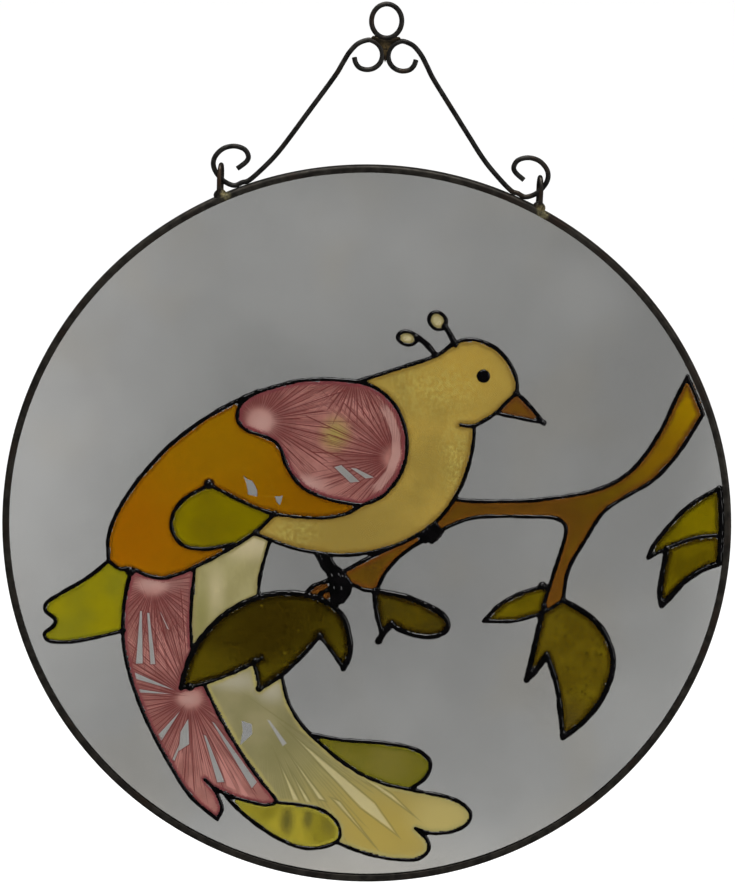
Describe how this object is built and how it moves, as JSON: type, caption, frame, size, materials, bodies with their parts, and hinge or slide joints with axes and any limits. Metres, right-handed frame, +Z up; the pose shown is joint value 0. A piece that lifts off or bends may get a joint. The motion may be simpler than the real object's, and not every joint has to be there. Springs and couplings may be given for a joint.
{
  "type": "glass-painted suncatcher",
  "caption": "Round clear glass disc painted with a bird on a leafy branch in raised black lines, in a dark metal rim, swinging from a bent-wire hanger with a ring.",
  "frame": {"origin": "inner top of the hanging ring, where the hook that holds the part bears", "axes": "+Z up through the ring from the middle of the disc, +X to the right of the painted face, painted face towards -Y"},
  "size_m": [0.3, 0.0097, 0.3682],
  "materials": {
    "dark_metal": "dark patina, satin",
    "solder": "dull brown-grey solder",
    "clear_glass": "polished, faintly grey",
    "black_contour_paste": "glossy, rounded bead",
    "yellow_glass_paint": "transparent, mottled",
    "orange_glass_paint": "transparent, glossy",
    "pink_crystal_lacquer": "ice-flower crystals",
    "cream_glass_paint": "cloudy, streaked",
    "green_glass_paint": "transparent, glossy",
    "olive_glass_paint": "dark transparent, glossy",
    "brown_glass_paint": "transparent, glossy"
  },
  "bodies": {
    "hanger": {"hanging_ring": "dark_metal", "hanger_wire_left": "dark_metal", "hanger_wire_right": "dark_metal", "hanger_solder": "solder"},
    "panel": {"rim_channel": "dark_metal", "eyelet_left": "dark_metal", "eyelet_right": "dark_metal", "glass_disc": "clear_glass", "contour_bird_and_branch": "black_contour_paste", "contour_edge_leaves": "black_contour_paste", "eye_dot": "black_contour_paste", "paint_head_and_breast": "yellow_glass_paint", "paint_wing": "orange_glass_paint", "paint_wing_patch": "pink_crystal_lacquer", "paint_tail_pink": "pink_crystal_lacquer", "paint_tail_cream_upper": "cream_glass_paint", "paint_tail_cream_lower": "cream_glass_paint", "paint_crest_bead_left": "cream_glass_paint", "paint_crest_bead_right": "cream_glass_paint", "paint_wing_feather": "green_glass_paint", "paint_tail_green_left": "green_glass_paint", "paint_tail_green_right": "green_glass_paint", "paint_tail_green_bottom": "green_glass_paint", "paint_big_leaf": "olive_glass_paint", "paint_small_leaf": "olive_glass_paint", "paint_left_twig_leaf": "olive_glass_paint", "paint_right_twig_leaf": "olive_glass_paint", "paint_upper_edge_leaf": "olive_glass_paint", "paint_lower_edge_leaf": "olive_glass_paint", "paint_branch": "brown_glass_paint", "paint_perch": "brown_glass_paint", "paint_branch_stub": "brown_glass_paint", "paint_beak": "brown_glass_paint"}
  },
  "joints": [
    {"name": "hanger_swing", "type": "hinge", "parent": "hanger", "child": "panel", "pos_m": [0, 0, -0.07375], "axis": [1, 0, 0], "range_deg": [-95, 95]}
  ]
}
